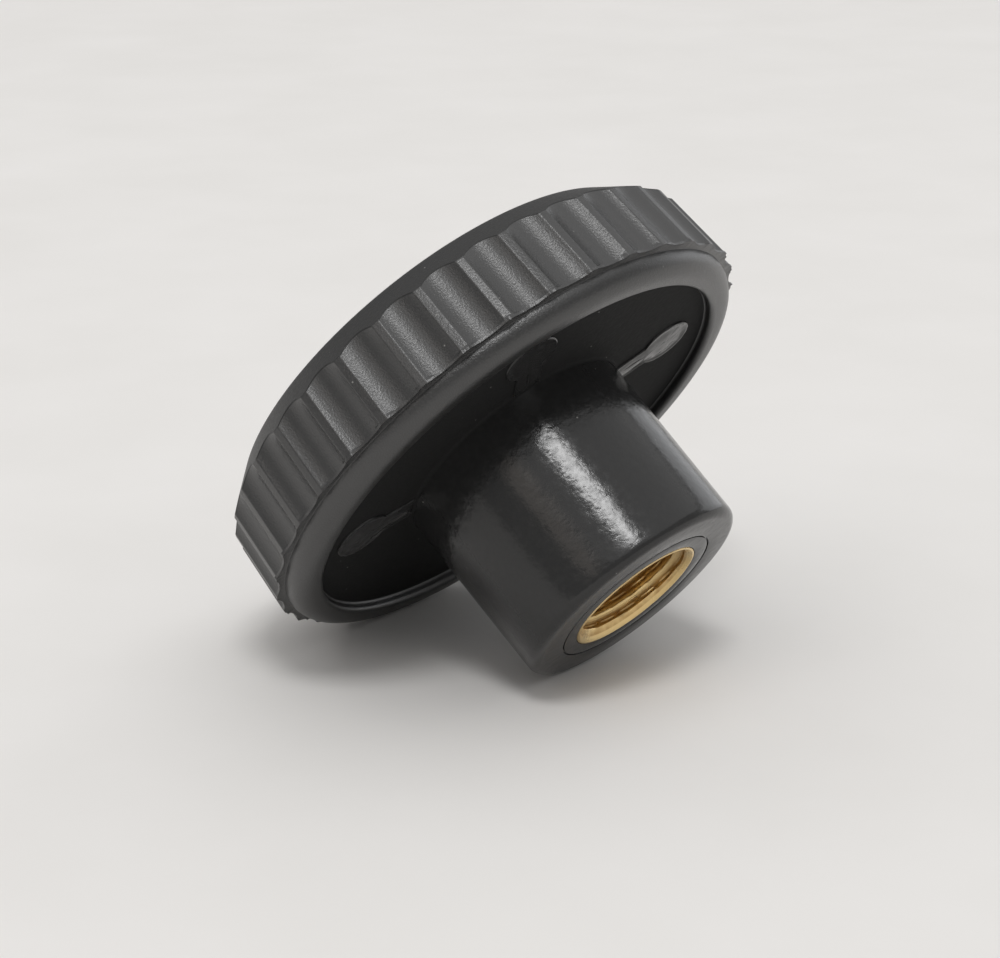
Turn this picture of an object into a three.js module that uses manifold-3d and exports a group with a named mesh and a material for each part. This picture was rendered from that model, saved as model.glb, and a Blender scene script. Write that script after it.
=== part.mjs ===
// A round fluted knob nut: a black moulded knob with a threaded brass insert in its hub.
//
// Millimetres. +Z is the knob's axis, pointing from the hub to the crown. The origin is the centre of the
// hub's end face, the face that clamps the work, so the knob stands on its hub with the crown up.

import * as THREE from "three";
import { mergeVertices } from "three/addons/utils/BufferGeometryUtils.js";
import Module from "manifold-3d";

// Heights above the hub's end face.
const CROWN_HEIGHT = 23.4; // the flat top of the crown
const PARTING_HEIGHT = 15.3; // where the flutes end and the lip begins
const LIP_HEIGHT = 13.6; // the lowest line of the lip
const RECESS_DEPTH = 0.9; // from the lip's lowest line up to the floor of the recess

// The rim.
const RIM_DIAMETER = 41.3; // over the ridges at the parting line
const RIM_DRAFT = THREE.MathUtils.degToRad(3.5); // the rim narrows towards the crown
const BEVEL_HEIGHT = 2.55; // from the rim's upper edge to the flat top, over the bevel
const BEVEL_LEAN = THREE.MathUtils.degToRad(46.9); // how far the bevel leans in from the rim
const CROWN_RADIUS = 1; // the rounding between the bevel and the flat top
const FLUTE_COUNT = 36;
const FLUTE_DEPTH = 0.55;
const FLUTE_RADIUS = 2.3; // of each flute's round floor

// The lip and the recess behind it.
const LIP_WIDTH = 2.35; // from the flute floors to the wall of the recess
const LIP_OUTER_ROUND = 1.45;
const LIP_INNER_ROUND = 0.4;
const RECESS_FILLET = 0.4;

// The hub.
const HUB_DIAMETER = 18.3; // at its end face, before the edge is rounded
const HUB_DRAFT = THREE.MathUtils.degToRad(0.6); // the hub widens towards the rim
const HUB_EDGE_ROUND = 0.75;

// The insert. Its thread is 3/8 in at 24 turns to the inch, and its bore is cut to the thread's crests.
const THREAD_DIAMETER = 9.525;
const THREAD_PITCH = 25.4 / 24;
const THREAD_LENGTH = 12.6;
const DRILL_POINT = THREE.MathUtils.degToRad(59); // half angle of the bore's blind end
const MOUTH_CHAMFER = 0.3; // how far the mouth's chamfer reaches outside the thread
const NOSE_WALL = 0.2; // the flat ring left around the chamfer
const NOSE_LENGTH = 1.2;
const BARREL_DIAMETER = 13; // over the knurl's teeth
const BARREL_LENGTH = 15; // from the nose's shoulder to the closed end
const KNURL_TEETH = 32;
const KNURL_DEPTH = 0.35;
const NECK_LENGTH = 3; // the smooth neck between the two knurled bands
const NECK_DEPTH = 0.8;

const SEAT_CLEARANCE = 0.3; // between the insert and the plastic around it

const RIM_STEPS = 2 * FLUTE_COUNT; // one facet edge on each ridge and one in each flute
const INSERT_STEPS = 48;
const CUTTER_STEPS = 24;

// three.js draws an arc with twice this many chords.
const ROUND_DIVISIONS = 2;
const CROWN_DIVISIONS = 3;

const wasm = await Module();
wasm.setup();

function toManifold(geometry) {
  const bare = geometry.clone();
  bare.deleteAttribute("normal");
  bare.deleteAttribute("uv");
  const merged = mergeVertices(bare, 1e-4);
  return new wasm.Manifold(new wasm.Mesh({
    numProp: 3,
    vertProperties: new Float32Array(merged.attributes.position.array),
    triVerts: new Uint32Array(merged.index.array),
  }));
}

function toGeometry(solid) {
  const mesh = solid.getMesh();
  const geometry = new THREE.BufferGeometry();
  geometry.setAttribute("position", new THREE.BufferAttribute(mesh.vertProperties, mesh.numProp));
  geometry.setIndex(new THREE.BufferAttribute(mesh.triVerts, 1));
  geometry.computeVertexNormals();
  return geometry;
}

// Turns an outline of (radius, height) points about +Z. LatheGeometry turns about +Y, so it is tipped up.
function turned(outline, steps) {
  return toManifold(new THREE.LatheGeometry(outline, steps).rotateX(Math.PI / 2));
}

function arcPoints(x, y, radius, from, to, divisions) {
  const arc = new THREE.Path().absarc(x, y, radius, from, to, to < from);
  return arc.getPoints(divisions);
}

function point(radius, height) {
  return new THREE.Vector2(radius, height);
}

// Sizes that more than one piece of the outline needs.
const rimRadius = RIM_DIAMETER / 2;
const fluteFloorRadius = rimRadius - FLUTE_DEPTH;
const recessWallRadius = fluteFloorRadius - LIP_WIDTH;
const recessFloorHeight = LIP_HEIGHT + RECESS_DEPTH;
const noseRadius = THREAD_DIAMETER / 2 + MOUTH_CHAMFER + NOSE_WALL;
const barrelRadius = BARREL_DIAMETER / 2;
const insertLength = NOSE_LENGTH + BARREL_LENGTH;

function hubRadiusAt(height) {
  return HUB_DIAMETER / 2 + height * Math.tan(HUB_DRAFT);
}

function rimRadiusAt(height) {
  return rimRadius - (height - PARTING_HEIGHT) * Math.tan(RIM_DRAFT);
}

// The pocket that the plastic leaves for the insert, from its closed end on the axis down to its mouth.
function pocketOutline() {
  const end = insertLength + SEAT_CLEARANCE;
  const shoulder = NOSE_LENGTH - SEAT_CLEARANCE;
  const barrel = barrelRadius + SEAT_CLEARANCE;
  const neck = barrelRadius - NECK_DEPTH + SEAT_CLEARANCE;
  const neckMiddle = NOSE_LENGTH + BARREL_LENGTH / 2;
  const neckReach = NECK_LENGTH / 2 - SEAT_CLEARANCE;
  return [
    point(0, end),
    point(barrel, end),
    point(barrel, neckMiddle + neckReach),
    point(neck, neckMiddle + neckReach),
    point(neck, neckMiddle - neckReach),
    point(barrel, neckMiddle - neckReach),
    point(barrel, shoulder),
    point(noseRadius + SEAT_CLEARANCE, shoulder),
    point(noseRadius + SEAT_CLEARANCE, 0),
  ];
}

// The hub's rounded edge, its side, and the fillet into the recess floor.
function hubOutline() {
  const edge = HUB_EDGE_ROUND;
  const edgeX = hubRadiusAt(edge) - edge / Math.cos(HUB_DRAFT);
  const fillet = RECESS_FILLET;
  const filletX = hubRadiusAt(recessFloorHeight - fillet) + fillet / Math.cos(HUB_DRAFT);
  return [
    ...arcPoints(edgeX, edge, edge, -Math.PI / 2, -HUB_DRAFT, ROUND_DIVISIONS),
    ...arcPoints(filletX, recessFloorHeight - fillet, fillet, Math.PI - HUB_DRAFT, Math.PI / 2, ROUND_DIVISIONS),
  ];
}

// The wall of the recess and the rounded lip, up to the parting line.
function lipOutline() {
  const fillet = RECESS_FILLET;
  const inner = LIP_INNER_ROUND;
  const outer = LIP_OUTER_ROUND;
  return [
    ...arcPoints(recessWallRadius - fillet, recessFloorHeight - fillet, fillet, Math.PI / 2, 0, ROUND_DIVISIONS),
    ...arcPoints(recessWallRadius + inner, LIP_HEIGHT + inner, inner, Math.PI, 1.5 * Math.PI, ROUND_DIVISIONS),
    ...arcPoints(fluteFloorRadius - outer, LIP_HEIGHT + outer, outer, -Math.PI / 2, 0, ROUND_DIVISIONS),
    point(fluteFloorRadius, PARTING_HEIGHT),
  ];
}

// The drafted rim, the bevel on its upper edge and the flat top, with a rounding between those two.
function rimOutline() {
  const edgeHeight = CROWN_HEIGHT - BEVEL_HEIGHT;
  const edgeRadius = rimRadiusAt(edgeHeight);
  const centreHeight = CROWN_HEIGHT - CROWN_RADIUS;
  const alongTop = (BEVEL_HEIGHT - CROWN_RADIUS) * Math.tan(BEVEL_LEAN) + CROWN_RADIUS / Math.cos(BEVEL_LEAN);
  return [
    point(rimRadius, PARTING_HEIGHT),
    point(edgeRadius, edgeHeight),
    ...arcPoints(edgeRadius - alongTop, centreHeight, CROWN_RADIUS, BEVEL_LEAN, Math.PI / 2, CROWN_DIVISIONS),
    point(0, CROWN_HEIGHT),
  ];
}

// One straight round-bottomed cutter, leaning in with the rim's draft so that the flute keeps its depth
// until it runs out on the crown. It starts below the parting line, where the lip is already clear of it.
function fluteCutter(angle) {
  const below = LIP_HEIGHT - PARTING_HEIGHT;
  const above = CROWN_HEIGHT - PARTING_HEIGHT + FLUTE_RADIUS;
  const cutter = new THREE.CylinderGeometry(FLUTE_RADIUS, FLUTE_RADIUS, above - below, CUTTER_STEPS);
  cutter.rotateX(Math.PI / 2);
  cutter.translate(0, 0, (above + below) / 2);
  cutter.rotateY(-RIM_DRAFT);
  cutter.translate(fluteFloorRadius + FLUTE_RADIUS / Math.cos(RIM_DRAFT), 0, PARTING_HEIGHT);
  cutter.rotateZ(angle);
  return toManifold(cutter);
}

function knobBody() {
  const outline = [...pocketOutline(), ...hubOutline(), ...lipOutline(), ...rimOutline()];
  let body = turned(outline, RIM_STEPS);
  for (let i = 0; i < FLUTE_COUNT; i++) {
    body = body.subtract(fluteCutter(((i + 0.5) * 2 * Math.PI) / FLUTE_COUNT));
  }
  return toGeometry(body);
}

// A knurled band: a disc with pointed teeth, standing on the given height.
function knurledBand(height, length) {
  const outline = [];
  for (let i = 0; i < 2 * KNURL_TEETH; i++) {
    const radius = i % 2 === 0 ? barrelRadius : barrelRadius - KNURL_DEPTH;
    const angle = (i * Math.PI) / KNURL_TEETH;
    outline.push(point(radius * Math.cos(angle), radius * Math.sin(angle)));
  }
  const band = new THREE.ExtrudeGeometry(new THREE.Shape(outline), { depth: length, bevelEnabled: false });
  return toManifold(band.translate(0, 0, height));
}

function threadedInsert() {
  const neckRadius = barrelRadius - NECK_DEPTH;
  const bandLength = (BARREL_LENGTH - NECK_LENGTH) / 2;
  const core = turned([
    point(0, 0),
    point(noseRadius, 0),
    point(noseRadius, NOSE_LENGTH),
    point(neckRadius, NOSE_LENGTH),
    point(neckRadius, insertLength),
    point(0, insertLength),
  ], INSERT_STEPS);

  const crestRadius = THREAD_DIAMETER / 2 - 0.5413 * THREAD_PITCH;
  const mouthRadius = THREAD_DIAMETER / 2 + MOUTH_CHAMFER;
  const bore = turned([
    point(0, -NOSE_LENGTH),
    point(mouthRadius, -NOSE_LENGTH),
    point(mouthRadius, 0),
    point(crestRadius, mouthRadius - crestRadius),
    point(crestRadius, THREAD_LENGTH),
    point(0, THREAD_LENGTH + crestRadius / Math.tan(DRILL_POINT)),
  ], INSERT_STEPS);

  return toGeometry(core
    .add(knurledBand(NOSE_LENGTH, bandLength))
    .add(knurledBand(insertLength - bandLength, bandLength))
    .subtract(bore));
}

function part(name, geometry, colour, roughness, metalness) {
  const mesh = new THREE.Mesh(geometry, new THREE.MeshStandardMaterial({ color: colour, roughness, metalness }));
  mesh.name = name;
  return mesh;
}

const knob = new THREE.Group();
knob.add(part("knob_body", knobBody(), "#26272a", 0.45, 0));
knob.add(part("threaded_insert", threadedInsert(), "#b8924e", 0.3, 1));

export default knob;
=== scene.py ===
"""A round fluted knob nut: a black moulded knob on its side, with a threaded brass insert in its hub.

The knob is upright in its own frame, hub end down and crown up. It rests on two ridges of its rim and on
the edge of its hub, so the floor leans and the camera is rolled to match it.
"""

import math

import bpy
from mathutils import Matrix, Vector


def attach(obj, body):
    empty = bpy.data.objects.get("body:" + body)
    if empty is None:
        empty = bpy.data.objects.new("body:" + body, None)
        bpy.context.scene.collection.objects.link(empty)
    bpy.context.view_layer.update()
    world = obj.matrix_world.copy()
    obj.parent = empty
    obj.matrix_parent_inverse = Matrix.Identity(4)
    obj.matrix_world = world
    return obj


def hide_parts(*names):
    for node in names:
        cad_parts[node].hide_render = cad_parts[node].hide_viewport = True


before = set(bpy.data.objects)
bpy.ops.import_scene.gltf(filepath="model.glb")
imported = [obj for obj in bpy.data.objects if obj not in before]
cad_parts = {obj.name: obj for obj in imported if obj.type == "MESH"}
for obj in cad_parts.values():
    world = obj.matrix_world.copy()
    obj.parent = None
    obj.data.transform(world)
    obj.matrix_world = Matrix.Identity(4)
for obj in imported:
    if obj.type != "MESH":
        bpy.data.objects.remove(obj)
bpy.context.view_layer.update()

MM = 0.001
FULL_TURN = 2 * math.pi
MATH = "ShaderNodeMath"
VECTOR_MATH = "ShaderNodeVectorMath"

# Heights above the hub's end face, in millimetres.
CROWN_HEIGHT = 23.4
PARTING_HEIGHT = 15.3
LIP_HEIGHT = 13.6
RECESS_FLOOR = 14.5

# The rim, in millimetres and degrees.
RIM_RADIUS = 20.65
RIM_DRAFT = math.radians(3.5)
BEVEL_HEIGHT = 2.55
BEVEL_LEAN = math.radians(46.9)
CROWN_RADIUS = 1.0
FLUTE_COUNT = 36
FLUTE_DEPTH = 0.55
FLUTE_RADIUS = 2.3
RIDGE_SOFTNESS = 0.05
LIP_TOP_RADIUS = 19.9
LIP_STEP = 0.16
LIP_EDGE = 1.45
RECESS_WALL_RADIUS = 17.55
RECESS_EDGE = 0.4
RECESS_CORNER = 0.3

# The flash at the parting line, in millimetres, and where its ragged pattern starts.
FLASH_REACH = 0.3
FLASH_DROP = 0.12
FLASH_LIFT = 0.02
FLASH_THICKNESS = 0.11
FLASH_GRAIN = 1.0
FLASH_WEB = 0.75
FLASH_SEED = 0.31

# The pin marks in the recess and their tabs to the hub, in millimetres and degrees.
MARK_COUNT = 4
MARK_FIRST = math.radians(-158)
MARK_STEP = math.radians(83.5)
MARK_MIDDLE = 13.8
MARK_RADIUS = 2.2
MARK_UNEVENNESS = 0.22
MARK_GRAIN = 1.3
MARK_SEED = 2.4
TAB_START = 9.0
TAB_HALF_WIDTH = 1.15

# The hub and its insert, in millimetres.
HUB_RADIUS = 9.15
HUB_DRAFT = math.radians(0.6)
HUB_EDGE = 0.75
HUB_FOOT = 0.25
WITNESS_RADIUS = 6.48
NOSE_RADIUS = 5.2625
NOSE_LENGTH = 1.2
BARREL_RADIUS = 6.5
BARREL_CHAMFER = 0.3
NECK_RADIUS = 5.7
NECK_HALF_LENGTH = 1.5
KNURL_TEETH = 32
KNURL_DEPTH = 0.35
INSERT_LENGTH = 16.2
POCKET_GAP = 0.05
MOUTH_RADIUS = 5.0625
THREAD_CREST = 4.19
THREAD_ROOT = 4.7625
THREAD_PITCH = 25.4 / 24
THREAD_LENGTH = 12.6
DRILL_POINT = math.radians(59)

# Where the floor is: the way it faces, and how far it is below the knob's origin in millimetres. It
# touches the hub's edge and the flash on two ridges.
FLOOR_AZIMUTH = math.radians(-45.1)
FLOOR_LEAN = math.radians(37.56)
FLOOR_DROP = 7.04
FLOOR_HALF_WIDTH = 3000

# The camera: its azimuth, elevation and roll, what it looks at, and from how many millimetres away.
CAMERA_ANGLES = tuple(math.radians(a) for a in (-3.2, -17.048, -38.615))
CAMERA_AIM = (-2.570, -3.557, 12.048)
CAMERA_DISTANCE = 184.31
LENS = 93.0
SENSOR_WIDTH = 36.0

# How far up the knob's axis the lamps point, in millimetres.
LAMP_AIM_HEIGHT = 11

# Which of the knob's black finishes is which, in the order that black_finishes() gives.
SATIN, DULL, POLISHED, UNPOLISHED = range(4)

# Sizes in the black plastic's face, in millimetres: its slow waves, and its dust.
WAVE_SIZE = 1.1
DUST_SPACING = 1.7


# ---------------------------------------------------------------- small helpers

def linear(hex_colour):
    """An sRGB hex colour as linear RGBA."""
    channels = [int(hex_colour[i:i + 2], 16) / 255 for i in (1, 3, 5)]
    return [c / 12.92 if c <= 0.04045 else ((c + 0.055) / 1.055) ** 2.4 for c in channels] + [1.0]


def add(tree, kind, *values, named=None, **settings):
    """Adds one node: its settings, its inputs in order (None leaves one alone), then inputs by name.

    A node given as a value stands for its first output.
    """
    node = tree.nodes.new(kind)
    for key, value in settings.items():
        setattr(node, key, value)
    for key, value in [*enumerate(values), *(named or {}).items()]:
        if isinstance(value, bpy.types.Node):
            tree.links.new(value.outputs[0], node.inputs[key])
        elif isinstance(value, bpy.types.NodeSocket):
            tree.links.new(value, node.inputs[key])
        elif value is not None:
            node.inputs[key].default_value = value
    return node


def arc(x, z, radius, start, end, steps):
    """Points (radius, height) along an arc, with angles in degrees."""
    angles = (math.radians(start + (end - start) * i / steps) for i in range(steps + 1))
    return [(x + radius * math.cos(a), z + radius * math.sin(a)) for a in angles]


def edge_radius():
    """How far out the rim's upper edge is."""
    return RIM_RADIUS - (CROWN_HEIGHT - BEVEL_HEIGHT - PARTING_HEIGHT) * math.tan(RIM_DRAFT)


def crown_centre_radius():
    """How far out the crown's rounding is centred."""
    along_top = (BEVEL_HEIGHT - CROWN_RADIUS) * math.tan(BEVEL_LEAN) + CROWN_RADIUS / math.cos(BEVEL_LEAN)
    return edge_radius() - along_top


def hub_radius_at(height):
    """How wide the drafted hub is at a height."""
    return HUB_RADIUS + height * math.tan(HUB_DRAFT)


def turned_mesh(name, rows, angles, marks):
    """A closed turned shape. rows are (radius, height) in mm from the top of the axis round to the axis.

    marks maps an attribute's name to one number for each row.
    """
    points, faces, row_of = [(0, 0, rows[0][1] * MM)], [], [0]
    count = len(angles)
    for k, (radius, height) in enumerate(rows[1:-1], 1):
        points += [(radius * MM * math.cos(a), radius * MM * math.sin(a), height * MM) for a in angles]
        row_of += [k] * count
    points.append((0, 0, rows[-1][1] * MM))
    row_of.append(len(rows) - 1)
    last = len(points) - 1
    for j in range(count):
        faces.append((0, 1 + j, 1 + (j + 1) % count))
        bottom = last - count
        faces.append((last, bottom + (j + 1) % count, bottom + j))
    for i in range(len(rows) - 3):
        a, b = 1 + i * count, 1 + (i + 1) * count
        for j in range(count):
            k = (j + 1) % count
            faces.append((a + j, b + j, b + k, a + k))
    mesh = bpy.data.meshes.new(name)
    mesh.from_pydata(points, [], faces)
    for key, numbers in marks.items():
        layer = mesh.attributes.new(key, "FLOAT", "POINT")
        layer.data.foreach_set("value", [numbers[r] for r in row_of])
    piece = bpy.data.objects.new(name, mesh)
    bpy.context.scene.collection.objects.link(piece)
    return piece


def grow(piece, tree, **inputs):
    """Runs a node tree on a piece with these inputs, and leaves a plain mesh."""
    modifier = piece.modifiers.new(tree.name, "NODES")
    modifier.node_group = tree
    for item in tree.interface.items_tree:
        key = item.name.lower().replace(" ", "_")
        if item.in_out == "INPUT" and key in inputs:
            modifier[item.identifier] = inputs[key]
    depsgraph = bpy.context.evaluated_depsgraph_get()
    mesh = bpy.data.meshes.new_from_object(piece.evaluated_get(depsgraph), depsgraph=depsgraph)
    piece.modifiers.remove(modifier)
    old, piece.data = piece.data, mesh
    bpy.data.meshes.remove(old)
    mesh.name = piece.name
    return piece


def smooth(piece, corner):
    """Smooth faces, with edges sharper than the corner angle left crisp."""
    piece.data.polygons.foreach_set("use_smooth", [True] * len(piece.data.polygons))
    piece.data.set_sharp_from_angle(angle=math.radians(corner))


def new_tree(name, **inputs):
    """A geometry node tree with named inputs. Each value is its socket's kind."""
    tree = bpy.data.node_groups.new(name, "GeometryNodeTree")
    tree.interface.new_socket("Geometry", in_out="INPUT", socket_type="NodeSocketGeometry")
    for key, kind in inputs.items():
        tree.interface.new_socket(key.replace("_", " "), in_out="INPUT", socket_type=kind)
    tree.interface.new_socket("Geometry", in_out="OUTPUT", socket_type="NodeSocketGeometry")
    start = tree.nodes.new("NodeGroupInput")
    return tree, start


def finish_tree(tree, geometry, material):
    """Ends a tree with plain, painted geometry."""
    real = add(tree, "GeometryNodeRealizeInstances", geometry)
    painted = add(tree, "GeometryNodeSetMaterial", real, None, material)
    add(tree, "NodeGroupOutput", painted)
    return tree


# ---------------------------------------------------------------- the knob's shape

def fluting_tree():
    """Moves the turned rim's points in to the round-floored flutes, out to the ragged flash at the parting
    line, and up the bevel from where each flute runs out."""
    number = "NodeSocketFloat"
    tree, start = new_tree(
        "flute_the_rim", Flute_Count=number, Flute_Depth=number, Flute_Radius=number,
        Ridge_Softness=number, Rim_Radius=number, Draft=number, Parting_Height=number,
        Edge_Height=number, Bevel_Lean=number, Bevel_Top_Radius=number, Bevel_Top_Height=number,
        Flash_Reach=number, Flash_Drop=number, Flash_Lift=number, Flash_Thickness=number,
        Flash_Web=number, Flash_Grain=number, Seed=number, Material="NodeSocketMaterial")
    size = {o.name: o for o in start.outputs}

    place = add(tree, "ShaderNodeSeparateXYZ", add(tree, "GeometryNodeInputPosition"))
    angle = add(tree, MATH, place.outputs[1], place.outputs[0], operation="ARCTAN2")
    pitch = add(tree, MATH, FULL_TURN, size["Flute Count"], operation="DIVIDE")
    wrapped = add(tree, MATH, angle, pitch, 0.0, operation="WRAP")
    half = add(tree, MATH, pitch, 0.5, operation="MULTIPLY")
    from_middle = add(tree, MATH, wrapped, half, operation="SUBTRACT")
    across = add(tree, MATH, from_middle, size["Rim Radius"], operation="MULTIPLY")

    # How deep the flute is here: a round floor that ends at the ridge.
    left = add(tree, MATH, add(tree, MATH, size["Flute Radius"], 2.0, operation="POWER"),
               add(tree, MATH, across, across, operation="MULTIPLY"), operation="SUBTRACT")
    rise = add(tree, MATH, size["Flute Radius"], add(tree, MATH, left, operation="SQRT"),
               operation="SUBTRACT")
    bare = add(tree, MATH, size["Flute Depth"], rise, operation="SUBTRACT")
    depth = add(tree, MATH, bare, 0.0, size["Ridge Softness"], operation="SMOOTH_MAX")

    # Where the drafted rim, moved in by that depth, meets the bevel.
    slope = add(tree, MATH, size["Draft"], operation="TANGENT")
    edge_z = add(tree, MATH, size["Edge Height"], size["Parting Height"], operation="SUBTRACT")
    edge_r = add(tree, MATH, size["Rim Radius"], add(tree, MATH, edge_z, slope, operation="MULTIPLY"),
                 operation="SUBTRACT")
    bevel_cos = add(tree, MATH, size["Bevel Lean"], operation="COSINE")
    bevel_sin = add(tree, MATH, size["Bevel Lean"], operation="SINE")
    drafted = add(tree, MATH, slope, bevel_cos, operation="MULTIPLY")
    climb = add(tree, MATH, bevel_cos, add(tree, MATH, bevel_sin, drafted, operation="SUBTRACT"),
                operation="DIVIDE")
    higher = add(tree, MATH, depth, climb, operation="MULTIPLY")
    meet_z = add(tree, MATH, size["Edge Height"], higher, operation="ADD")
    meet_r = add(tree, MATH, add(tree, MATH, edge_r, depth, operation="SUBTRACT"),
                 add(tree, MATH, higher, slope, operation="MULTIPLY"), operation="SUBTRACT")
    foot_r = add(tree, MATH, size["Rim Radius"], depth, operation="SUBTRACT")

    sweep = add(tree, "ShaderNodeCombineXYZ", add(tree, MATH, angle, operation="COSINE"),
                add(tree, MATH, angle, operation="SINE"))

    def moved(geometry, mark, radius, height):
        """The points that carry this mark, moved to that radius and height."""
        carried = add(tree, MATH, mark, -0.5, operation="GREATER_THAN")
        out = add(tree, VECTOR_MATH, sweep, named={"Scale": radius.outputs[0]}, operation="SCALE")
        up = add(tree, "ShaderNodeCombineXYZ", None, None, height)
        there = add(tree, VECTOR_MATH, out, up, operation="ADD")
        return add(tree, "GeometryNodeSetPosition", geometry, carried, there)

    side, bevel, flash = (add(tree, "GeometryNodeInputNamedAttribute", key, data_type="FLOAT")
                          for key in ("side", "bevel", "flash"))
    shape = moved(size["Geometry"], side,
                  add(tree, "ShaderNodeMapRange", side, 0.0, 1.0, foot_r, meet_r),
                  add(tree, "ShaderNodeMapRange", side, 0.0, 1.0, size["Parting Height"], meet_z))
    shape = moved(shape, bevel,
                  add(tree, "ShaderNodeMapRange", bevel, 0.0, 1.0, meet_r, size["Bevel Top Radius"]),
                  add(tree, "ShaderNodeMapRange", bevel, 0.0, 1.0, meet_z, size["Bevel Top Height"]))

    # The flash webs the flutes' ends a little, and stands out raggedly here and there.
    on_circle = add(tree, VECTOR_MATH, sweep, named={"Scale": size["Rim Radius"]}, operation="SCALE")
    seed = add(tree, "ShaderNodeCombineXYZ", None, None, size["Seed"])
    ragged = add(tree, "ShaderNodeTexNoise", named={
        "Vector": add(tree, VECTOR_MATH, on_circle, seed, operation="ADD").outputs[0],
        "Scale": add(tree, MATH, 1.0, size["Flash Grain"], operation="DIVIDE").outputs[0],
        "Detail": 3.0, "Roughness": 0.7})
    # Only the noise's peaks stand out, as separate teeth.
    spike = add(tree, "ShaderNodeMapRange", ragged.outputs[0], 0.54, 0.78, 0.0, 1.0)
    web = add(tree, MATH, add(tree, MATH, depth, size["Flute Depth"], operation="DIVIDE"),
              size["Flash Web"], operation="MULTIPLY")
    out = add(tree, MATH, add(tree, MATH, spike, web, operation="ADD"), size["Flash Reach"],
              operation="MULTIPLY")
    drop = add(tree, MATH, add(tree, MATH, spike, size["Flash Drop"], operation="MULTIPLY"), flash,
               operation="MULTIPLY")
    under = add(tree, MATH, drop, add(tree, MATH, flash, size["Flash Thickness"], operation="MULTIPLY"),
                operation="ADD")
    over = add(tree, MATH, size["Parting Height"], size["Flash Lift"], operation="SUBTRACT")
    shape = moved(shape, flash, add(tree, MATH, foot_r, out, operation="ADD"),
                  add(tree, MATH, over, under, operation="SUBTRACT"))
    return finish_tree(tree, shape, size["Material"])


def rim_angles():
    """Column angles, close together at each ridge's edges. The steps are in mm from a ridge's middle."""
    steps = (0.0, 0.16, 0.24, 0.3, 0.36, 0.44, 0.56, 0.75, 1.0, 1.25, 1.5)
    half = math.pi * RIM_RADIUS / FLUTE_COUNT
    offsets = sorted({*steps, half, *(2 * half - s for s in steps[1:])})
    return [FULL_TURN * i / FLUTE_COUNT + s / RIM_RADIUS for i in range(FLUTE_COUNT) for s in offsets]


def knob_rows():
    """The turned outline from the crown's middle round to the closed end of the insert's pocket.

    Rows with a mark are put in place by the fluting tree.
    """
    rows, side, bevel, flash = [], [], [], []

    def lay(points, on_side=-1.0, on_bevel=-1.0, on_flash=-1.0):
        for p in points:
            rows.append(p)
            side.append(on_side)
            bevel.append(on_bevel)
            flash.append(on_flash)

    lay([(0, CROWN_HEIGHT), (4, CROWN_HEIGHT), (9, CROWN_HEIGHT), (13, CROWN_HEIGHT), (16, CROWN_HEIGHT)])
    lay(arc(crown_centre_radius(), CROWN_HEIGHT - CROWN_RADIUS, CROWN_RADIUS, 90,
            math.degrees(BEVEL_LEAN), 8)[:-1])
    # A mark of 1 is the top of the bevel or of the side, and 0 its foot. On the flash 0 is the upper face
    # and 1 the lower one.
    for t in (1.0, 0.8, 0.6, 0.4, 0.2, 0.1, 0.04):
        lay([(RIM_RADIUS, CROWN_HEIGHT - 1)], on_bevel=t)
    for t in (1.0, 0.985, 0.95, 0.9, 0.8, 0.68, 0.55, 0.42, 0.3, 0.2, 0.1, 0.04, 0.015):
        lay([(RIM_RADIUS, PARTING_HEIGHT + 5 * t)], on_side=t)
    for t in (-0.3, 0.0, 1.0, 1.3):
        lay([(RIM_RADIUS, PARTING_HEIGHT)], on_flash=t)
    step = PARTING_HEIGHT - LIP_STEP
    lay([(LIP_TOP_RADIUS + 0.02, step), (LIP_TOP_RADIUS, step - 0.02)])
    lay(arc(LIP_TOP_RADIUS - LIP_EDGE, LIP_HEIGHT + LIP_EDGE, LIP_EDGE, 0, -90, 10))
    lay(arc(RECESS_WALL_RADIUS + RECESS_EDGE, LIP_HEIGHT + RECESS_EDGE, RECESS_EDGE, -90, -180, 5))
    lay(arc(RECESS_WALL_RADIUS - RECESS_CORNER, RECESS_FLOOR - RECESS_CORNER, RECESS_CORNER, 0, 90, 4))
    lay([(r, RECESS_FLOOR) for r in (16, 14.5, 13, 11.5, 10.3)])
    foot = hub_radius_at(RECESS_FLOOR - HUB_FOOT) + HUB_FOOT
    lay(arc(foot, RECESS_FLOOR - HUB_FOOT, HUB_FOOT, 90, 180, 4))
    lay([(hub_radius_at(z), z) for z in (13, 11, 9, 7, 5, 3, 1.5)])
    edge = hub_radius_at(HUB_EDGE) - HUB_EDGE
    lay(arc(edge, HUB_EDGE, HUB_EDGE, 0, -82, 9))
    # The end face, flat but for the fine circle that the mould's core pin leaves round the insert.
    lay([(edge, 0), (7.6, 0), (WITNESS_RADIUS + 0.14, 0), (WITNESS_RADIUS + 0.07, 0.02),
         (WITNESS_RADIUS + 0.04, 0.16), (WITNESS_RADIUS - 0.04, 0.16), (WITNESS_RADIUS - 0.07, 0.03),
         (WITNESS_RADIUS - 0.14, 0.01), (5.9, 0.01), (NOSE_RADIUS + 0.14, 0.01), (NOSE_RADIUS + 0.04, 0.04),
         (NOSE_RADIUS + 0.015, 0.12), (NOSE_RADIUS + 0.015, NOSE_LENGTH - POCKET_GAP),
         (BARREL_RADIUS + POCKET_GAP, NOSE_LENGTH - POCKET_GAP),
         (BARREL_RADIUS + POCKET_GAP, INSERT_LENGTH + POCKET_GAP), (0, INSERT_LENGTH + POCKET_GAP)])
    return rows, {"side": side, "bevel": bevel, "flash": flash}


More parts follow.
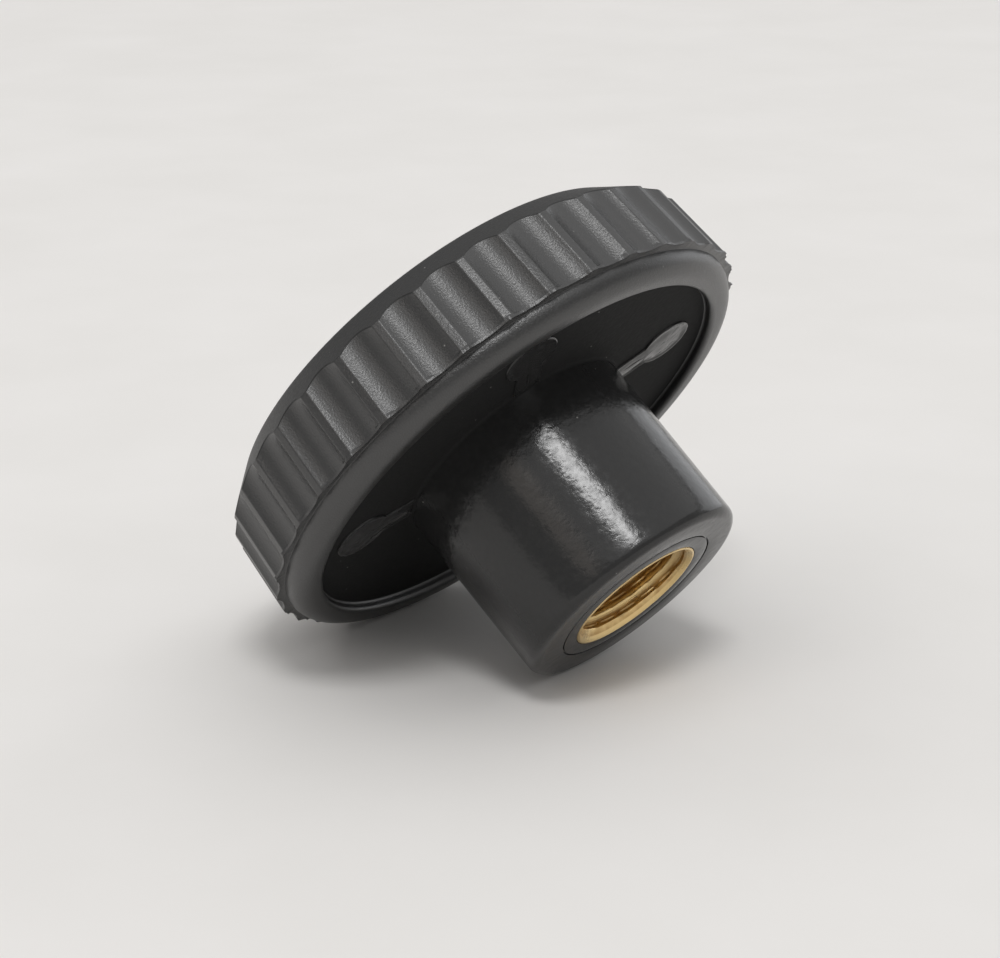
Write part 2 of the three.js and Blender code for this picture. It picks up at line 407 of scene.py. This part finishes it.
def finish_number(x, y, z):
    """Which of the black finishes a face has, from its middle in millimetres."""
    radius = math.hypot(x, y)
    up_bevel = z - CROWN_HEIGHT + BEVEL_HEIGHT
    on_bevel = radius > edge_radius() - up_bevel * math.tan(BEVEL_LEAN) - 0.08
    in_recess = HUB_RADIUS < radius < RECESS_WALL_RADIUS - 0.1
    if up_bevel > 0 and (on_bevel or up_bevel > 2):
        return DULL
    if in_recess and RECESS_FLOOR - 0.35 < z < RECESS_FLOOR + 0.1:
        return UNPOLISHED
    return POLISHED if radius < HUB_RADIUS + 0.5 else SATIN


def knob_body(finishes):
    """The black moulding, with its finish set face by face."""
    rows, marks = knob_rows()
    piece = turned_mesh("fluted_knob", rows, rim_angles(), marks)
    grow(piece, fluting_tree(), flute_count=float(FLUTE_COUNT), flute_depth=FLUTE_DEPTH * MM,
         flute_radius=FLUTE_RADIUS * MM, ridge_softness=RIDGE_SOFTNESS * MM, rim_radius=RIM_RADIUS * MM,
         draft=RIM_DRAFT, parting_height=PARTING_HEIGHT * MM,
         edge_height=(CROWN_HEIGHT - BEVEL_HEIGHT) * MM, bevel_lean=BEVEL_LEAN,
         bevel_top_radius=(crown_centre_radius() + CROWN_RADIUS * math.cos(BEVEL_LEAN)) * MM,
         bevel_top_height=(CROWN_HEIGHT - CROWN_RADIUS * (1 - math.sin(BEVEL_LEAN))) * MM,
         flash_reach=FLASH_REACH * MM, flash_drop=FLASH_DROP * MM, flash_lift=FLASH_LIFT * MM,
         flash_thickness=FLASH_THICKNESS * MM, flash_web=FLASH_WEB, flash_grain=FLASH_GRAIN * MM,
         seed=FLASH_SEED, material=finishes[SATIN])
    for finish in finishes[1:]:
        piece.data.materials.append(finish)
    for face in piece.data.polygons:
        face.material_index = finish_number(*(face.center / MM))
    smooth(piece, 55)
    return piece


def mark_tree():
    """Stands copies of a mark round the axis a step apart, and makes each face uneven in its own way."""
    number = "NodeSocketFloat"
    tree, start = new_tree("mark_the_recess", Count="NodeSocketInt", First_Angle=number, Step_Angle=number,
                           Unevenness=number, Grain_Size=number, Seed=number, Material="NodeSocketMaterial")
    size = {o.name: o for o in start.outputs}
    points = add(tree, "GeometryNodePoints", size["Count"])
    turn = add(tree, MATH, add(tree, "GeometryNodeInputIndex"), size["Step Angle"], size["First Angle"],
               operation="MULTIPLY_ADD")
    spin = add(tree, "ShaderNodeCombineXYZ", 0.0, 0.0, turn)
    copies = add(tree, "GeometryNodeInstanceOnPoints", points,
                 named={"Instance": size["Geometry"], "Rotation": spin.outputs[0]})
    real = add(tree, "GeometryNodeRealizeInstances", copies)
    lumps = add(tree, "ShaderNodeTexNoise", named={
        "Vector": add(tree, "GeometryNodeInputPosition").outputs[0], "W": size["Seed"],
        "Scale": add(tree, MATH, 1.0, size["Grain Size"], operation="DIVIDE").outputs[0], "Detail": 3.0,
        "Roughness": 0.6}, noise_dimensions="4D")
    face = add(tree, "GeometryNodeInputNamedAttribute", "face", data_type="FLOAT")
    shift = add(tree, MATH, add(tree, MATH, add(tree, MATH, lumps, 0.5, operation="SUBTRACT"),
                                size["Unevenness"], operation="MULTIPLY"), face, operation="MULTIPLY")
    up = add(tree, "ShaderNodeCombineXYZ", 0.0, 0.0, shift)
    shape = add(tree, "GeometryNodeSetPosition", real, None, None, up)
    return finish_tree(tree, shape, size["Material"])


def pin_marks(material):
    """The round marks of the ejector pins in the recess, each tied to the hub by a short broad tab. Each
    is a shallow dome inside a low ridge, so only the side turned to the light shines."""
    # How far in from the outline each ring lies, as a part of the way to the middle, its height in mm, and
    # how much of the unevenness it takes.
    rings = (
        (0.0, 14.6, 0.0), (0.0, 14.46, 0.0), (0.02, 14.37, 0.0), (0.06, 14.35, 0.3), (0.11, 14.37, 0.5),
        (0.18, 14.43, 1.0), (0.3, 14.42, 1.0), (0.45, 14.39, 1.0), (0.6, 14.365, 1.0), (0.75, 14.35, 1.0),
        (0.9, 14.34, 1.0))
    start = math.pi - math.asin(TAB_HALF_WIDTH / MARK_RADIUS)
    neck = MARK_MIDDLE + MARK_RADIUS * math.cos(start)
    tab = [TAB_START + (neck - TAB_START) * k / 8 for k in range(8)]
    outline = [(x, TAB_HALF_WIDTH) for x in tab]
    outline += [(MARK_MIDDLE + MARK_RADIUS * math.cos(a), MARK_RADIUS * math.sin(a))
                for a in (start - 2 * start * k / 48 for k in range(49))]
    outline += [(x, -TAB_HALF_WIDTH) for x in reversed(tab)]
    count = len(outline)
    points, faces, face_marks = [], [], []
    for inset, height, uneven in rings:
        for x, y in outline:
            spine = min(max(x, TAB_START + 0.8), MARK_MIDDLE)
            points.append(((x + (spine - x) * inset) * MM, y * (1 - inset) * MM, height * MM))
            face_marks.append(uneven)
    for i in range(len(rings) - 1):
        a, b = i * count, (i + 1) * count
        for j in range(count):
            k = (j + 1) % count
            faces.append((a + j, b + j, b + k, a + k))
    top = (len(rings) - 1) * count
    faces += [tuple(range(count)), tuple(range(top, top + count))[::-1]]
    mesh = bpy.data.meshes.new("pin_marks")
    mesh.from_pydata(points, [], faces)
    mesh.attributes.new("face", "FLOAT", "POINT").data.foreach_set("value", face_marks)
    piece = bpy.data.objects.new("pin_marks", mesh)
    bpy.context.scene.collection.objects.link(piece)
    grow(piece, mark_tree(), count=MARK_COUNT, first_angle=MARK_FIRST, step_angle=MARK_STEP,
         unevenness=MARK_UNEVENNESS * MM, grain_size=MARK_GRAIN * MM, seed=MARK_SEED, material=material)
    smooth(piece, 50)
    return piece


# ---------------------------------------------------------------- the insert's shape

def threading_tree():
    """Cuts the right-hand thread in the bore, chamfers its mouth, and knurls the barrel."""
    number = "NodeSocketFloat"
    tree, start = new_tree("cut_the_thread", Pitch=number, Crest_Radius=number, Root_Radius=number,
                           Mouth_Radius=number, Thread_End=number, Knurl_Teeth=number, Knurl_Depth=number,
                           Material="NodeSocketMaterial")
    size = {o.name: o for o in start.outputs}
    place = add(tree, "ShaderNodeSeparateXYZ", add(tree, "GeometryNodeInputPosition"))
    height = place.outputs[2]
    angle = add(tree, MATH, place.outputs[1], place.outputs[0], operation="ARCTAN2")
    turns = add(tree, MATH, angle, FULL_TURN, operation="DIVIDE")
    climbed = add(tree, MATH, height, size["Pitch"], operation="DIVIDE")
    phase = add(tree, MATH, climbed, turns, operation="SUBTRACT")
    # A V thread: 0 at a crest and 1 at a root, with both cut flat.
    wave = add(tree, MATH, phase, 0.5, operation="PINGPONG")
    cut = add(tree, "ShaderNodeMapRange", wave, 0.06, 0.42, 0.0, 1.0)
    last_turn = add(tree, MATH, size["Thread End"], size["Pitch"], operation="SUBTRACT")
    run_out = add(tree, "ShaderNodeMapRange", height, last_turn, size["Thread End"], 1.0, 0.0)
    depth = add(tree, MATH, cut, run_out, operation="MULTIPLY")
    thread = add(tree, "ShaderNodeMapRange", depth, 0.0, 1.0, size["Crest Radius"], size["Root Radius"])
    chamfer = add(tree, MATH, size["Mouth Radius"], height, operation="SUBTRACT")
    bore_radius = add(tree, MATH, thread, chamfer, operation="MAXIMUM")
    sweep = add(tree, "ShaderNodeCombineXYZ", add(tree, MATH, angle, operation="COSINE"),
                add(tree, MATH, angle, operation="SINE"))
    up = add(tree, "ShaderNodeCombineXYZ", None, None, height)
    there = add(tree, VECTOR_MATH, add(tree, VECTOR_MATH, sweep, named={"Scale": bore_radius.outputs[0]},
                                       operation="SCALE"), up, operation="ADD")
    bore = add(tree, "GeometryNodeInputNamedAttribute", "bore", data_type="FLOAT")
    shape = add(tree, "GeometryNodeSetPosition", size["Geometry"],
                add(tree, MATH, bore, 0.5, operation="GREATER_THAN"), there)
    teeth = add(tree, MATH, add(tree, MATH, turns, size["Knurl Teeth"], operation="MULTIPLY"), 0.5,
                operation="PINGPONG")
    knurl = add(tree, "GeometryNodeInputNamedAttribute", "knurl", data_type="FLOAT")
    inward = add(tree, MATH, add(tree, MATH, add(tree, MATH, teeth, -2.0, operation="MULTIPLY"),
                                 size["Knurl Depth"], operation="MULTIPLY"), knurl, operation="MULTIPLY")
    shift = add(tree, VECTOR_MATH, sweep, named={"Scale": inward.outputs[0]}, operation="SCALE")
    shape = add(tree, "GeometryNodeSetPosition", shape, None, None, shift)
    return finish_tree(tree, shape, size["Material"])


def brass_insert(material):
    """The brass insert: a nose ring, a knurled barrel with a neck in it, and a blind threaded bore."""
    rows, bore, knurl = [], [], []

    def lay(points, in_bore=0.0, knurled=0.0):
        for p in points:
            rows.append(p)
            bore.append(in_bore)
            knurl.append(knurled)

    middle = (NOSE_LENGTH + INSERT_LENGTH) / 2
    lay([(0, INSERT_LENGTH), (4, INSERT_LENGTH), (BARREL_RADIUS - 0.4, INSERT_LENGTH)])
    lay([(BARREL_RADIUS, INSERT_LENGTH - BARREL_CHAMFER), (BARREL_RADIUS, middle + NECK_HALF_LENGTH)],
        knurled=1.0)
    lay([(NECK_RADIUS, middle + NECK_HALF_LENGTH - 0.1), (NECK_RADIUS, middle - NECK_HALF_LENGTH + 0.1)])
    lay([(BARREL_RADIUS, middle - NECK_HALF_LENGTH), (BARREL_RADIUS, NOSE_LENGTH + 0.1)], knurled=1.0)
    lay([(BARREL_RADIUS - 0.4, NOSE_LENGTH), (NOSE_RADIUS, NOSE_LENGTH), (NOSE_RADIUS, 0.07),
         (NOSE_RADIUS - 0.02, 0.02), (NOSE_RADIUS - 0.07, 0.0), (MOUTH_RADIUS + 0.03, 0.0)])
    lay([(MOUTH_RADIUS, 0.03)])
    rows_in_bore = int(THREAD_LENGTH / THREAD_PITCH * 16)
    lay([(THREAD_CREST, THREAD_LENGTH * i / rows_in_bore) for i in range(1, rows_in_bore + 1)], in_bore=1.0)
    tip = THREAD_LENGTH + THREAD_CREST / math.tan(DRILL_POINT)
    lay([(THREAD_CREST / 2, (THREAD_LENGTH + tip) / 2), (0, tip)])
    columns = 128
    piece = turned_mesh("brass_insert", rows, [FULL_TURN * i / columns for i in range(columns)],
                        {"bore": bore, "knurl": knurl})
    grow(piece, threading_tree(), pitch=THREAD_PITCH * MM, crest_radius=THREAD_CREST * MM,
         root_radius=THREAD_ROOT * MM, mouth_radius=MOUTH_RADIUS * MM, thread_end=THREAD_LENGTH * MM,
         knurl_teeth=float(KNURL_TEETH), knurl_depth=KNURL_DEPTH * MM, material=material)
    smooth(piece, 45)
    return piece


# ---------------------------------------------------------------- materials

def surface(name):
    """A new material with its shader and object coordinates."""
    material = bpy.data.materials.new(name)
    material.use_nodes = True
    tree = material.node_tree
    shader = tree.nodes["Principled BSDF"]
    place = add(tree, "ShaderNodeTexCoord").outputs["Object"]
    return material, tree, shader, place


def black_plastic(name, dark, light, shine, glossy, dull, grain_size, grain_depth, wave_depth):
    """Black thermoset moulding. dark and light are its tones, shine its specular level, glossy and dull the
    ends of its roughness, and the grain and the slow waviness of its mould face are in millimetres."""
    material, tree, shader, place = surface(name)
    shader.inputs["Specular IOR Level"].default_value = shine
    grain = add(tree, "ShaderNodeTexNoise", named={
        "Vector": place, "Scale": 1 / (grain_size * MM), "Detail": 3.0, "Roughness": 0.6})
    wave = add(tree, "ShaderNodeTexNoise", named={
        "Vector": place, "Scale": 1 / (WAVE_SIZE * MM), "Detail": 2.5, "Roughness": 0.55})
    rough = add(tree, "ShaderNodeMapRange", grain, 0.35, 0.65, glossy, dull)
    tree.links.new(rough.outputs[0], shader.inputs["Roughness"])
    # Dust: sparse pale specks about 0.1 mm across.
    dust = add(tree, "ShaderNodeTexVoronoi", named={"Vector": place, "Scale": 1 / (DUST_SPACING * MM)})
    speck = add(tree, "ShaderNodeMapRange", dust.outputs[0], 0.025, 0.045, 1.0, 0.0)
    tone = add(tree, "ShaderNodeMix", grain, data_type="RGBA", named={6: linear(dark), 7: linear(light)})
    colour = add(tree, "ShaderNodeMix", speck, data_type="RGBA",
                 named={6: tone.outputs[2], 7: linear("#7d7c79")})
    tree.links.new(colour.outputs[2], shader.inputs["Base Color"])
    slow = add(tree, "ShaderNodeBump", named={"Height": wave.outputs[0], "Distance": wave_depth * MM})
    fine = add(tree, "ShaderNodeBump", named={"Height": grain.outputs[0], "Distance": grain_depth * MM,
                                              "Normal": slow.outputs[0]})
    tree.links.new(fine.outputs[0], shader.inputs["Normal"])
    return material


def black_finishes():
    """The knob's four finishes of one black plastic, in the order SATIN, DULL, POLISHED, UNPOLISHED."""
    # Real mould grain is some 0.05 mm across. It is drawn at least three times as coarse so that it shows.
    return (
        # Satin: the rim and lip give broad, bright, slightly grainy bands on each ridge and in each flute.
        black_plastic("satin_black_thermoset", "#171717", "#262626", 1.0, 0.28, 0.37, 0.14, 0.03, 0.004),
        # Dull satin: the bevel and the top stay dark even where they are seen edge on.
        black_plastic("dull_black_thermoset", "#222222", "#2c2c2c", 0.35, 0.42, 0.52, 0.2, 0.02, 0.004),
        # Polished: the hub mirrors the lamps as soft streaks with wavy, ragged edges.
        black_plastic("polished_black_thermoset", "#242424", "#2c2c2c", 0.42, 0.12, 0.22, 0.45, 0.012,
                      0.024),
        # Unpolished: the recess is nearly black all over, because it gives no reflections.
        black_plastic("unpolished_black_thermoset", "#222222", "#2c2c2c", 0.04, 0.6, 0.7, 0.3, 0.03, 0.0))


def turned_brass():
    """Free-cutting brass, turned and tapped: fine rings from the tool, and patchy painted shade in the
    thread's roots.
    """
    material, tree, shader, place = surface("turned_brass")
    shader.inputs["Metallic"].default_value = 1.0
    parts = add(tree, "ShaderNodeSeparateXYZ", place)
    flat = add(tree, "ShaderNodeCombineXYZ", parts.outputs[0], parts.outputs[1])
    radius = add(tree, VECTOR_MATH, flat, operation="LENGTH").outputs["Value"]
    # Painted shade: the thread's roots in the bore are mixed in patches toward a darker brown, where shade
    # falls in the grooves.
    root = add(tree, "ShaderNodeMapRange", radius, (THREAD_CREST + 0.15) * MM, (THREAD_ROOT - 0.02) * MM,
               0.0, 1.0)
    inside = add(tree, "ShaderNodeMapRange", radius, (THREAD_ROOT + 0.02) * MM, (THREAD_ROOT + 0.06) * MM,
                 1.0, 0.0)
    patchiness = add(tree, "ShaderNodeTexNoise", named={"Vector": place, "Scale": 1 / (0.8 * MM), "Detail": 4.0})
    root_shade = add(tree, MATH, add(tree, MATH, root, inside, operation="MULTIPLY"),
               add(tree, "ShaderNodeMapRange", patchiness, 0.3, 0.7, 0.1, 0.8), operation="MULTIPLY")
    # The darker brown is the painted shade in the thread's roots.
    colour = add(tree, "ShaderNodeMix", root_shade, data_type="RGBA",
                 named={6: linear("#ecd097"), 7: linear("#a57a42")})
    tree.links.new(colour.outputs[2], shader.inputs["Base Color"])
    rings = add(tree, "ShaderNodeTexNoise", named={"Scale": 1 / (0.12 * MM), "Detail": 2.0})
    rings.noise_dimensions = "1D"
    tree.links.new(radius, rings.inputs["W"])
    rough = add(tree, "ShaderNodeMapRange", patchiness, 0.3, 0.7, 0.24, 0.4)
    tree.links.new(rough.outputs[0], shader.inputs["Roughness"])
    bump = add(tree, "ShaderNodeBump",
               named={"Height": rings.outputs[0], "Distance": 0.015 * MM, "Strength": 0.8})
    tree.links.new(bump.outputs[0], shader.inputs["Normal"])
    return material


def matt_paper():
    """A pale sheet on a table: matt, a little mottled. Its back is clear, so it never hides the knob."""
    material, tree, shader, place = surface("matt_paper")
    mottle = add(tree, "ShaderNodeTexNoise", named={"Vector": place, "Scale": 1 / (18 * MM), "Detail": 3.0})
    colour = add(tree, "ShaderNodeMix", mottle, data_type="RGBA",
                 named={6: linear("#e5e3e0"), 7: linear("#edebe9")})
    tree.links.new(colour.outputs[2], shader.inputs["Base Color"])
    shader.inputs["Roughness"].default_value = 0.75
    shader.inputs["Specular IOR Level"].default_value = 0.2
    clear = add(tree, "ShaderNodeBsdfTransparent")
    back = add(tree, "ShaderNodeNewGeometry").outputs["Backfacing"]
    both = add(tree, "ShaderNodeMixShader", back, shader, clear)
    tree.links.new(both.outputs[0], tree.nodes["Material Output"].inputs["Surface"])
    return material


# ---------------------------------------------------------------- floor, light and camera

def room():
    """The room's up, away from the viewer, and right."""
    up = Vector((math.cos(FLOOR_LEAN) * math.cos(FLOOR_AZIMUTH),
                 math.cos(FLOOR_LEAN) * math.sin(FLOOR_AZIMUTH), math.sin(FLOOR_LEAN)))
    back = camera_axes()[2]
    away = (-back + back.dot(up) * up).normalized()
    return up, away, away.cross(up)


def camera_axes():
    """The camera's right, its up, and the way back from the knob to it."""
    azimuth, elevation, roll = CAMERA_ANGLES
    back = Vector((math.sin(azimuth) * math.cos(elevation), -math.cos(azimuth) * math.cos(elevation),
                   math.sin(elevation)))
    level = Vector((0, 0, 1)).cross(back).normalized()
    rise = back.cross(level)
    right = math.cos(roll) * level + math.sin(roll) * rise
    return right, back.cross(right), back


def set_camera():
    right, up, back = camera_axes()
    camera = bpy.data.cameras.new("camera")
    camera.lens, camera.sensor_width = LENS, SENSOR_WIDTH
    camera.clip_start, camera.clip_end = 0.005, 20
    seat = bpy.data.objects.new("camera", camera)
    aim = Vector(CAMERA_AIM) * MM
    turn = Matrix((right, up, back)).transposed().to_4x4()
    seat.matrix_world = Matrix.Translation(aim + back * CAMERA_DISTANCE * MM) @ turn
    bpy.context.scene.collection.objects.link(seat)
    bpy.context.scene.camera = seat


def lay_floor():
    """The pale sheet that the knob lies on."""
    up, away, right = room()
    foot = up * (-FLOOR_DROP * MM)
    mesh = bpy.data.meshes.new("floor")
    corners = [foot + FLOOR_HALF_WIDTH * MM * (a * away + b * right)
               for a, b in ((-1, -1), (-1, 1), (1, 1), (1, -1))]
    mesh.from_pydata(corners, [], [(0, 1, 2, 3)])
    if mesh.polygons[0].normal.dot(up) < 0:
        mesh.flip_normals()
    floor = bpy.data.objects.new("floor", mesh)
    bpy.context.scene.collection.objects.link(floor)
    mesh.materials.append(matt_paper())


def lamp(name, azimuth, elevation, distance, wide, tall, power, tint="#ffffff"):
    """A soft rectangular lamp. Azimuth 0 is away from the viewer and 90 to the right, in degrees. Its
    distance and sizes are in metres and its power is in watts."""
    up, away, right = room()
    a, e = math.radians(azimuth), math.radians(elevation)
    level = math.cos(a) * away + math.sin(a) * right
    toward = math.cos(e) * level + math.sin(e) * up
    light = bpy.data.lights.new(name, "AREA")
    light.shape, light.size, light.size_y = "RECTANGLE", wide, tall
    light.energy = power
    light.color = linear(tint)[:3]
    stand = bpy.data.objects.new(name, light)
    stand.visible_camera = False
    aim = Vector((0, 0, LAMP_AIM_HEIGHT * MM))
    side = up.cross(level)
    turn = Matrix((side, toward.cross(side), toward)).transposed().to_4x4()
    stand.matrix_world = Matrix.Translation(aim + toward * distance) @ turn
    bpy.context.scene.collection.objects.link(stand)


def light_room():
    """One small lamp behind the viewer, a pale ceiling, two windows and a pale room round them."""
    lamp("ceiling_light", 180, 61.5, 3.0, 0.84, 0.58, 25.0)
    lamp("pale_ceiling", 0, 90, 1.6, 4.0, 4.0, 27.0)
    lamp("right_window", 45, 14, 3.0, 2.3, 1.4, 10.5, "#fafcff")
    lamp("left_window", -138, 32, 3.0, 1.0, 1.0, 2.5, "#fff2e6")
    world = bpy.data.worlds.new("pale_room")
    world.use_nodes = True
    background = world.node_tree.nodes["Background"]
    background.inputs["Color"].default_value = linear("#f2f1f0")
    background.inputs["Strength"].default_value = 0.4
    bpy.context.scene.world = world


def main():
    finishes = black_finishes()
    for piece, node, slot in (
            (knob_body(finishes), "knob_body", "moulded_plastic"),
            (pin_marks(finishes[POLISHED]), "knob_body", "moulded_plastic"),
            (brass_insert(turned_brass()), "threaded_insert", "brass")):
        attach(piece, "root")
        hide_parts(node)
    lay_floor()
    light_room()
    set_camera()
    bpy.context.scene.view_settings.view_transform = "Standard"


main()
